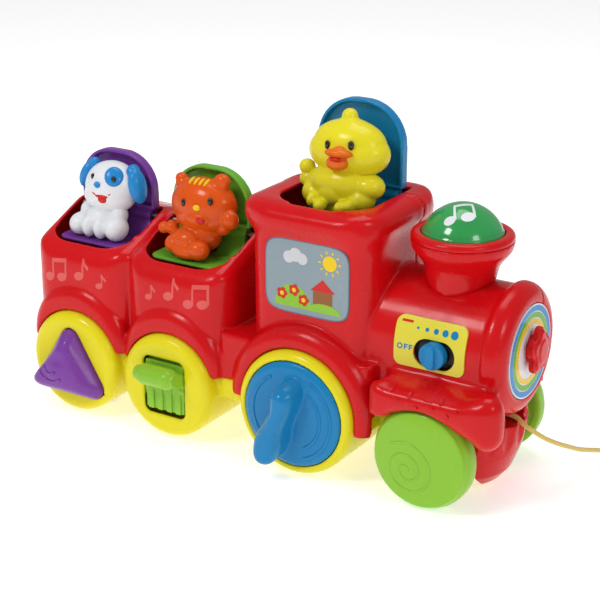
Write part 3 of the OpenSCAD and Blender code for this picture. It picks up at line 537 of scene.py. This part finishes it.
# %% Clay helper
def clay(name, hinge, lumps, voxel=0.7, passes=6):
    """Joins balls (centre, half sizes, turn in degrees) into one soft form, in millimetres from the hinge."""
    bm = bmesh.new()
    for centre, sizes, turn in lumps:
        place = Matrix.Translation(hinge + Vector(centre) * MM)
        spin = Euler([math.radians(a) for a in turn]).to_matrix().to_4x4()
        stretch = Matrix.Diagonal((*[s * MM for s in sizes], 1))
        bmesh.ops.create_uvsphere(bm, u_segments=32, v_segments=20, radius=1.0, matrix=place @ spin @ stretch)
    piece = even_skin(piece_from(bm, name), voxel, passes)
    print(name, len(lumps), "lumps,", len(piece.data.polygons), "faces")
    return piece


def ball(centre, sizes, turn=(0, 0, 0)):
    """One lump of clay; it stands straight unless a turn is given."""
    return (centre, sizes, turn)


# %% [markdown]
# ### Puppy
# A white puppy with blue ears sits under the purple lid. One mesh with painted faces could hold it all, but ears,
# patch, nose and mouth as lumps of their own have clean edges, and stand out a little as on a moulded toy.

# %% Puppy
hinge = joint_at["purple_lid"]
puppy = clay("puppy_body", hinge, [
    ball((1, -17, -2), (15, 12, 12)),
    ball((1, -25, 1), (11, 8, 8)), ball((-15, -26, -6), (8, 9.5, 8)), ball((16, -26, -5), (8, 9.5, 9)),
    ball((-4.5, -30, -5), (4.8, 6.5, 8)), ball((5.5, -30, -5), (4.8, 6.5, 8)),
    ball((-12, -20, 3), (6, 7, 7)), ball((14, -20, 3), (6, 7, 7)),
], passes=7)
finish_piece(puppy, "purple_popup", "white", white, ["puppy"])
head = clay("puppy_head", hinge, [
    ball((3.5, -13, 20.5), (20.5, 16.5, 18)), ball((2.5, -15, 14.5), (20, 14.5, 12.5)),
    ball((3.5, -21.5, 13.8), (13, 8, 7.5)),
], 0.7, 10)
finish_piece(head, "purple_popup", "white", white)
ears = clay("puppy_ears", hinge, [
    ball((20.5, -11, 33), (4.5, 5.5, 5)), ball((25.2, -12.5, 23.5), (5.6, 7.5, 12.5), (0, -12, 0)),
    ball((-13.5, -11, 34), (4, 5, 4.5)), ball((-18.5, -12.5, 26), (4.8, 7, 10.5), (0, 22, 0)),
])
finish_piece(ears, "purple_popup", "blue", sky_blue)
marks = clay("puppy_nose", hinge, [ball((3.0, -29.0, 25.2), (2.6, 2, 2.2))], 0.3, 2)
finish_piece(marks, "purple_popup", "blue", sky_blue)
patch = clay("puppy_patch", hinge, [ball((13.0, -22.6, 30.8), (6.6, 2.6, 7.2), (-32, 0, 36))], 0.4, 2)
finish_piece(patch, "purple_popup", "blue", sky_blue)
eyes = clay("puppy_eyes", hinge, [
    ball((-3, -25.9, 29.4), (1.5, 1.4, 2.5)), ball((14.4, -25.0, 29.6), (1.9, 1.7, 2.5)),
], 0.3, 2)
finish_piece(eyes, "purple_popup", "dark", black)
mouth = clay("puppy_mouth", hinge, [
    ball((5.4, -27.9, 17.2), (5.6, 2.2, 1.6)), ball((6.4, -28.4, 15.0), (3.6, 2.0, 2.6)),
    ball((0.2, -28.0, 18.3), (2.6, 1.5, 0.9), (0, 22, 8)), ball((11, -26.6, 18.6), (2.6, 1.5, 0.9), (0, -26, -14)),
], 0.3, 3)
finish_piece(mouth, "purple_popup", "red", lip_red)

# %% [markdown]
# ### Kitten
# The orange kitten has its head in one piece with its body, because both are one colour and meet in a soft neck. Only
# the eyes, the yellow marks and the mouth are lumps of their own.

# %% Kitten
hinge = joint_at["green_lid"]
kitten = clay("kitten_body", hinge, [
    ball((1.4, -12.5, 20), (25, 15.5, 18.5)), ball((4, -24, 13.5), (11, 5.5, 6)), ball((2, -15, 12), (21, 13, 11)),
    ball((-15.5, -12, 32), (6, 5, 5)), ball((-17.2, -12, 35.2), (4.6, 4, 4)),
    ball((13, -12, 34), (7.5, 5.5, 6)), ball((16, -12, 38), (6, 4.5, 5)),
    ball((4, -17, 0), (13, 10, 11)), ball((-4, -24, -2), (12, 10, 8)),
    ball((-12, -27, -6), (8, 8, 7)), ball((9, -31, -6), (8, 7, 7)), ball((0, -31, -8.6), (12, 7, 5)),
    ball((19, -16, 7), (7, 5, 5), (0, -35, 0)), ball((25, -17, 14), (6.5, 5.5, 6.5)),
    ball((-19, -22, 3), (5, 5, 5)), ball((-25, -23, 2), (4.2, 4.2, 4.2)),
], passes=6)
finish_piece(kitten, "green_popup", "orange", orange, ["kitten"])
eyes = clay("kitten_eyes", hinge, [
    ball((-5.1, -27.3, 23.8), (1.7, 1.4, 2.7)), ball((15.0, -24.9, 27.0), (1.9, 1.6, 2.7)),
], 0.3, 2)
finish_piece(eyes, "green_popup", "dark", black)
marks = clay("kitten_marks", hinge, [
    ball((5.8, -27.6, 21.9), (2.8, 1.8, 2.1)),
    *[ball((x, -17.6, 36.9), (1.2, 4.0, 1.5), (22, 0, 0)) for x in (-4.5, -0.5, 3.5, 7.5)],
], 0.3, 2)
finish_piece(marks, "green_popup", "duck_yellow", sun_yellow)
mouth = clay("kitten_mouth", hinge, [ball((9.0, -28.6, 13.6), (3.8, 1.8, 2.5), (15, 0, -6))], 0.3, 2)
finish_piece(mouth, "green_popup", "red", lip_red)

# %% [markdown]
# ### Duckling
# The duckling's head is much smoother than its body. Pressed together they would be smoothed alike, so the head is a
# lump of its own with more passes. The beak is two flat balls, a little apart, with the red throat between them.

# %% Duckling
hinge = joint_at["blue_lid"]
duckling = clay("duckling_body", hinge, [
    ball((0, -26, 11), (22, 14, 13)), ball((-17, -29, 3), (9, 9, 8)), ball((17, -29, 3), (9, 9, 8)),
    ball((0, -22, 6), (18, 14, 13)), ball((-2, -31, 6), (11, 10, 9)), ball((20, -26, 11), (11, 9.5, 8.5)),
    ball((-26, -25, 17.5), (5.5, 5, 5)), ball((-25, -25, 9.5), (6, 5.5, 5.5)), ball((-17, -24, 11), (8, 6, 6.5)),
    ball((-13, -38, 1), (4, 7, 5)), ball((-6, -42, -1), (4, 6, 4)), ball((14, -37, 1), (4, 8, 4.5)),
    ball((9, -41, 0), (4, 6.5, 4)), ball((0, -24, -5), (14, 12, 8)),
], passes=5)
finish_piece(duckling, "blue_popup", "duck_yellow", chick_yellow, ["duckling"])
crown = clay("duckling_head", hinge, [
    ball((2.4, -20, 30), (28.4, 17.8, 16.5)), ball((2.4, -19.5, 35), (25.5, 16.6, 16)),
    ball((2.4, -19, 40), (18, 13.5, 11.5)),
    ball((0.4, -16.5, 52), (5.4, 5, 5.2)), ball((1.6, -17, 49), (5, 5, 4)),
], 0.7, 14)
finish_piece(crown, "blue_popup", "duck_yellow", chick_yellow)
eyes = clay("duckling_eyes", hinge, [
    ball((-4.4, -36.0, 37.0), (1.8, 1.5, 3.0)), ball((12.2, -35.2, 38.6), (2.1, 1.6, 3.1)),
], 0.3, 2)
finish_piece(eyes, "blue_popup", "dark", black)
beak = clay("duckling_beak", hinge, [
    ball((5, -38, 33.2), (9.6, 6, 3.0), (-14, 0, 6)), ball((5, -36.8, 34.8), (4.6, 5, 2.8)),
    ball((3.6, -37.6, 26.6), (7.4, 5, 4.6), (30, 0, 6)), ball((3.6, -35.2, 29), (8.4, 3, 6)),
], 0.4, 3)
finish_piece(beak, "blue_popup", "orange", beak_orange)
throat = clay("duckling_throat", hinge, [ball((4.2, -41.0, 29.9), (4.2, 1.8, 1.6))], 0.3, 2)
finish_piece(throat, "blue_popup", "red", lip_red)

# %% [markdown]
# ## Prints and raised marks
# Notes, picture shapes, rivets and grooves are thin flat shapes laid on a surface. They could be drawn in a material,
# but real ones are films and ridges with an edge of their own. A ray from outside finds the surface under each corner,
# so a shape follows a wall that curves.


# %% Laying helper
def surface(piece):
    """A search tree over a piece's faces."""
    mesh = piece.data
    return BVHTree.FromPolygons([v.co for v in mesh.vertices], [tuple(f.vertices) for f in mesh.polygons])


def from_side(tree, side=-1):
    """Lays (x, z) on what is met from the near side, or the far side, h above it."""
    def lay(u, v, h):
        start = at(u, 200 * side, v)
        hit = tree.ray_cast(start, Vector((0, -side, 0)))[0]
        return (hit or at(u, 0, v)) + Vector((0, side * h * MM, 0))
    return lay


def laid(name, outlines, lay, body, slot, material, high=0.3, deep=0.5):
    """One thin piece from closed outlines, each laid corner by corner."""
    bm = bmesh.new()
    for place, outline in enumerate(outlines):
        lift = high + 0.004 * (place % 12)
        top = [bm.verts.new(lay(u, v, lift)) for u, v in outline]
        low = [bm.verts.new(lay(u, v, -deep)) for u, v in outline]
        mid_u, mid_v = (sum(c) / len(outline) for c in zip(*outline))
        crown, foot = bm.verts.new(lay(mid_u, mid_v, lift)), bm.verts.new(lay(mid_u, mid_v, -deep))
        for k in range(len(top)):
            bm.faces.new((top[k - 1], top[k], crown))
            bm.faces.new((low[k], low[k - 1], foot))
            bm.faces.new((top[k - 1], low[k - 1], low[k], top[k]))
    bmesh.ops.recalc_face_normals(bm, faces=bm.faces)
    finish_piece(piece_from(bm, name), body, slot, material)
    print(name, len(outlines), "shapes")


def disc(u, v, a, b=None, turn=0.0, count=24):
    """The outline of a circle, or of an ellipse turned by some degrees."""
    b = b or a
    c, s = math.cos(math.radians(turn)), math.sin(math.radians(turn))
    points = [(a * math.cos(t), b * math.sin(t)) for t in (2 * math.pi * k / count for k in range(count))]
    return [(u + c * p - s * q, v + s * p + c * q) for p, q in points]


def strip(points, half):
    """Short quads along a line of points, half as wide to each side."""
    made = []
    for (a, b), (c, d) in zip(points, points[1:]):
        run = math.hypot(c - a, d - b)
        n, m = -(d - b) / run * half, (c - a) / run * half
        made.append([(a + n, b + m), (a - n, b - m), (c - n, d - m), (c + n, d + m)])
    return made


def bend(u, v, r, start, stop, steps=24):
    """Points along an arc, with its angles in degrees."""
    angles = [math.radians(start + (stop - start) * k / steps) for k in range(steps + 1)]
    return [(u + r * math.cos(t), v + r * math.sin(t)) for t in angles]


def line(u0, v0, u1, v1, steps=6):
    """Points along a straight line, close enough to follow a curved wall."""
    return [(u0 + (u1 - u0) * k / steps, v0 + (v1 - v0) * k / steps) for k in range(steps + 1)]


def ridges(name, lines, lay, radius, body, slot, material, sunk=-0.35):
    """Round ridges half sunk in a surface, one swept line each."""
    bars = swept(name, [[lay(u, v, sunk * radius) for u, v in points] for points in lines], radius * MM, 2)
    graph = bpy.context.evaluated_depsgraph_get()
    mesh = bpy.data.meshes.new_from_object(bars.evaluated_get(graph))
    bpy.data.objects.remove(bars)
    for face in mesh.polygons:
        face.use_smooth = True
    piece = bpy.data.objects.new(name, mesh)
    bpy.context.scene.collection.objects.link(piece)
    finish_piece(piece, body, slot, material)
    print(name, len(lines), "ridges")


def note(u, v, s):
    """A single note with a flag."""
    stem = u + 0.24 * s
    return [disc(u, v, 0.28 * s, 0.2 * s, 20), *strip(line(stem, v, stem, v + 0.85 * s), 0.05 * s),
            [(stem, v + 0.85 * s), (stem, v + 0.62 * s), (u + 0.52 * s, v + 0.34 * s), (u + 0.6 * s, v + 0.46 * s)]]


def two_notes(u, v, s):
    """Two notes under a beam."""
    made = []
    for shift, lift in ((0, 0), (0.72 * s, 0.1 * s)):
        stem = u + shift + 0.24 * s
        made += [disc(u + shift, v + lift, 0.27 * s, 0.2 * s, 20),
                 *strip(line(stem, v + lift, stem, v + lift + 0.85 * s), 0.05 * s)]
    made += strip(line(u + 0.2 * s, v + 0.8 * s, u + s, v + 0.91 * s), 0.09 * s)
    return made


# %% [markdown]
# ### Notes and rivets
# Notes stand on the carriage walls, hardly raised, and round rivets and one square tooth on the rail. They could be cut
# into the solids, but they are too thin to matter there, so they are laid on the softened wall.

# %% Notes and rivets on the red body
on_wall = from_side(surface(near_skin))
laid("wall_notes", [
    *two_notes(-205.5, 95, 15.5), *note(-179, 100, 15), *note(-161.5, 96, 10.5),
    *note(-119, 97, 10.5), *note(-102.5, 100.5, 15), *two_notes(-86.5, 98, 15.5),
], on_wall, "train", "red", pale_red, 0.16)
rivets = [(70, 77), (75, 72), (83, 75.5), (88, 69.5), (99, 71.5), (104, 76), (109, 69), (115, 73)]
laid("rail_rivets", [disc(x, z, 1.5, count=14) for x, z in rivets], on_wall, "train", "red", red, 0.9)
laid("rail_tooth", [[(92, 75), (92, 80), (98.5, 80), (98.5, 75)]], on_wall, "train", "red", red, 1.2)

# %% [markdown]
# ### Lever face
# A finger flips the lever by a thick round tab over a ribbed plate that fills its window. The softened solid alone
# would leave both dull. The tab is pressed from balls like the figures, and the plate and its ribs are boxes with
# bevelled edges, because flat ribs keep their crisp faces that way.


# %% Lever face
def block(bm, centre, sizes):
    """Adds a box to a mesh, in millimetres from the lever's pivot."""
    stretch = Matrix.Diagonal((*[s * MM for s in sizes], 1))
    bmesh.ops.create_cube(bm, size=1.0, matrix=Matrix.Translation(pivot + Vector(centre) * MM) @ stretch)


pivot = at(carriage_middles[1], -25, 38)
tab = clay("lever_tab", pivot, [
    ball((x, -43.5, 10.5), (8.5, 8, 7.4), (-12, 0, 0)) for x in (-8.4, -4.2, 0, 4.2, 8.4)
], 0.6, 16)
finish_piece(tab, "lever", "green", leaf_green)
bm = bmesh.new()
block(bm, (0, -33.9, 0), (31.6, 3, 35))
for x in (-11.2, -3.75, 3.75, 11.2):
    block(bm, (x, -35.2, -6), (4.6, 3, 23))
bmesh.ops.bevel(bm, geom=bm.edges[:], offset=0.7 * MM, segments=2, affect="EDGES", profile=0.5, material=-1)
finish_piece(piece_from(bm, "lever_face"), "lever", "green", leaf_green)
print("lever face made about", [round(c, 4) for c in pivot])

# %% [markdown]
# ### Ridges of the controls
# Arcs on the button and the knob, and a spiral on each front wheel, stand up a little as round beads. A groove in the
# solid or a bump in the material could hint at them, but a thin swept line catches the light like the real bead.

# %% Ridges of the controls
knob_z = 43.5
wheel_x, wheel_z = 84, 27.5
ridges("button_arcs", [bend(-190, 41, 13.5, 215, 312), bend(-190, 41, 7.5, 205, 315)],
       from_side(surface(button_skin)), 1.0, "triangle", "purple", purple, 0.0)
ridges("knob_arcs", [bend(0, knob_z, 29.5, -70, 60), bend(0, knob_z, 22.5, -60, 52), bend(0, knob_z, 28, 120, 215)],
       from_side(surface(knob_skin)), 1.3, "knob", "blue", blue)
turns = []
for a in range(0, 860, 10):
    reach = 1 + 0.021 * a
    turns.append((wheel_x + reach * math.cos(math.radians(a)), wheel_z + reach * math.sin(math.radians(a))))
for label, skin, side in (("near_wheel_spiral", near_wheel_skin, -1), ("far_wheel_spiral", far_wheel_skin, 1)):
    ridges(label, [turns], from_side(surface(skin), side), 0.8, "front_wheels", "green", leaf_green)

# %% [markdown]
# ## Pictures
# The cab window holds a small landscape. On the real object such a picture is a printed film. An image could be mapped
# on, but thin shapes keep sharp edges at any distance, and each one lies a hair above the one below it.


# %% Window picture
window_y = -46.0
window_middle = (1.2, 130.3)


def on_window(u, v, h):
    """Lays (x, z) on the flat window, h in front of it."""
    return at(u, window_y - h, v)


def pane(half_u, half_v, corner=0.34):
    """A rounded pane whose four sides swell a little; a smaller corner value makes it squarer."""
    made = []
    for k in range(72):
        c, s = math.cos(math.radians(5 * k)), math.sin(math.radians(5 * k))
        made.append((window_middle[0] + half_u * math.copysign(abs(c) ** corner, c),
                     window_middle[1] + half_v * math.copysign(abs(s) ** corner, s)))
    return made


def hill(u, half, height):
    """Half an ellipse that stands on the picture's ground line."""
    return [(u + half * math.cos(t), 110 + height * math.sin(t)) for t in (math.pi * k / 20 for k in range(21))]


laid("window_frame", [pane(31, 24.6)], on_window, "train", "print", slate, 0.1)
laid("window_sky", [pane(30.2, 23.8)], on_window, "train", "print", pale_sky, 0.2)
sun_u, sun_v = 18, 143.5
sun = [disc(sun_u, sun_v, 5)]
for k in range(10):
    sun += strip([(sun_u + r * math.cos(k * 0.628), sun_v + r * math.sin(k * 0.628)) for r in (6.2, 8.2)], 0.5)
laid("window_sun", sun, on_window, "train", "print", sun_yellow, 0.3)
laid("window_cloud", [disc(-12, 143, 4), disc(-7, 145, 4.6), disc(-2, 143, 3.8)],
     on_window, "train", "print", cloud_grey, 0.3)
laid("window_hills", [hill(-9, 13.5, 15)], on_window, "train", "print", leaf_green, 0.28)
laid("window_barn", [[(6, 112), (20, 112), (20, 124), (6, 124)]], on_window, "train", "print", barn_brown, 0.32)
laid("window_roof", [[(4, 124), (22, 124), (13, 132)]], on_window, "train", "print", lip_red, 0.34)
laid("window_meadow", [hill(14, 12.5, 6)], on_window, "train", "print", leaf_green, 0.38)
flowers = [(-17, 118), (-8, 121.5), (-1, 116)]
petals = [disc(u + 2.3 * math.cos(1.257 * k), v + 2.3 * math.sin(1.257 * k), 1.7) for u, v in flowers for k in range(5)]
laid("window_petals", petals, on_window, "train", "print", lip_red, 0.42)
laid("window_hearts", [disc(u, v, 1.5) for u, v in flowers], on_window, "train", "print", sun_yellow, 0.5)

# %% [markdown]
# ### Label, front disc and dome
# The label has dots that grow with the sound and the word OFF, the front disc has coloured rings, and a pair of notes
# stands on the dome. A text object could write the word, but strokes follow the label's curve like every other shape.

# %% Label, front disc and dome
on_label = from_side(surface(nodes["label_plate"]))
laid("label_dots", [disc(76 + 6.2 * k, 110.8, 0.8 + 0.42 * k, count=16) for k in range(5)],
     on_label, "train", "label", blue, 0.12, 0.2)
off_word = strip(bend(65.2, 98, 1.5, 0, 360, 20), 0.4)
for left in (68.4, 71.8):
    off_word += strip([(left, 96.3), (left, 99.8)], 0.4)
    off_word += strip([(left, 99.4), (left + 2.2, 99.4)], 0.4) + strip([(left, 98), (left + 1.8, 98)], 0.4)
laid("label_off", off_word, on_label, "train", "label", blue, 0.12, 0.2)
laid("label_bar", strip([(64.5, 113.6), (72, 113.6)], 0.7), on_label, "train", "label", lip_red, 0.12, 0.2)


disc_x, boiler_z = 134, 95


def on_disc(u, v, h):
    """Lays (y, z) on the front disc, h in front of it."""
    return at(disc_x + h, u, v)


def ring(inner, outer):
    """A band about the boiler's middle line."""
    return strip(bend(0, boiler_z, (inner + outer) / 2, 0, 360, 60), (outer - inner) / 2)


for name, inner, outer, material in (
    ("disc_blue", 25.5, 29, sky_blue), ("disc_green", 21.5, 24.8, green), ("disc_yellow", 17.5, 20.8, sun_yellow),
):
    laid(name, ring(inner, outer), on_disc, "train", "print", material, 0.15)

dome_radius = 27
dome_mid, dome_out = at(85.3, 0, 155), Vector((10.7, -15, 26.8)).normalized()
across = Vector((0.845, 0.535, 0))
dome_right = (across - dome_out * dome_out.dot(across)).normalized()
dome_up = dome_out.cross(dome_right)


def on_dome(u, v, h):
    """Lays a shape on the dome's round top, h above it."""
    way = (dome_out * dome_radius + dome_right * u + dome_up * v).normalized()
    return dome_mid + way * (dome_radius + h) * MM


laid("dome_notes", two_notes(-12, -1, 17), on_dome, "dome", "white", white, 0.15, 0.4)

# %% [markdown]
# ## Remaining solids
# Pins, springs, screws and what lies inside could be built anew, but their solids are right as they are. They stay and
# only take a finish.

# %% Finishes for carried-over solids
for material, names in (
    (steel, ["hinge_pins", "flap_springs", "button_spring", "lever_pin", "lever_spring", "dome_spring", "front_axle",
             "rear_axle", "door_screw", "case_screws"]),
    (dark, ["switch_body", "rear_rollers", "batteries", "speaker"]),
    (board_green, ["circuit_board"]),
    (yellow, ["battery_door", "cord_eyelet", "cord_bead"]),
    (white, ["lamp", "front_cap"]),
    (slate, ["window_panel"]),
    (label_yellow, ["label_plate"]),
):
    for name in names:
        nodes[name].data.materials.clear()
        nodes[name].data.materials.append(material)
    print(material.name, "on", len(names), "solids")

# %% [markdown]
# ## Studio
# A pale floor, a pale surround and broad soft lamps give the long smooth highlights of a catalogue picture. Stronger
# lamps could keep the floor white, but would wash out the plastics, so it glows a little, as a light table does.

# %% Studio
bm = bmesh.new()
bmesh.ops.create_grid(bm, x_segments=1, y_segments=1, size=6.0)
floor = piece_from(bm, "studio_floor")
floor_finish, _, floor_shader = fresh_material("studio_floor")
floor_shader.inputs["Base Color"].default_value = (0.9, 0.9, 0.9, 1)
floor_shader.inputs["Roughness"].default_value = 0.9
floor_shader.inputs["Emission Color"].default_value = (1, 1, 1, 1)
floor_shader.inputs["Emission Strength"].default_value = 0.5
floor.data.materials.append(floor_finish)

world = bpy.data.worlds.new("studio_world")
world.use_nodes = True
world.node_tree.nodes["Background"].inputs["Color"].default_value = (1, 1, 1, 1)
world.node_tree.nodes["Background"].inputs["Strength"].default_value = 0.36
bpy.context.scene.world = world


lamp_aim = (0, 0, 0.1)


def soft_lamp(name, place, size, power):
    """A square lamp that looks at the middle of the train."""
    data = bpy.data.lights.new(name, "AREA")
    data.size = size
    data.energy = power
    lamp = bpy.data.objects.new(name, data)
    lamp.location = place
    lamp.rotation_euler = (Vector(lamp_aim) - Vector(place)).to_track_quat("-Z", "Y").to_euler()
    bpy.context.scene.collection.objects.link(lamp)


soft_lamp("key_lamp", (-0.5, -1.1, 1.35), 0.45, 9.5)
soft_lamp("right_lamp", (1.3, -0.5, 0.9), 0.4, 3.5)
soft_lamp("top_lamp", (0.0, 0.3, 1.6), 0.9, 8)
bpy.context.scene.view_settings.view_transform = "Standard"
print("lamps", len(bpy.data.lights))
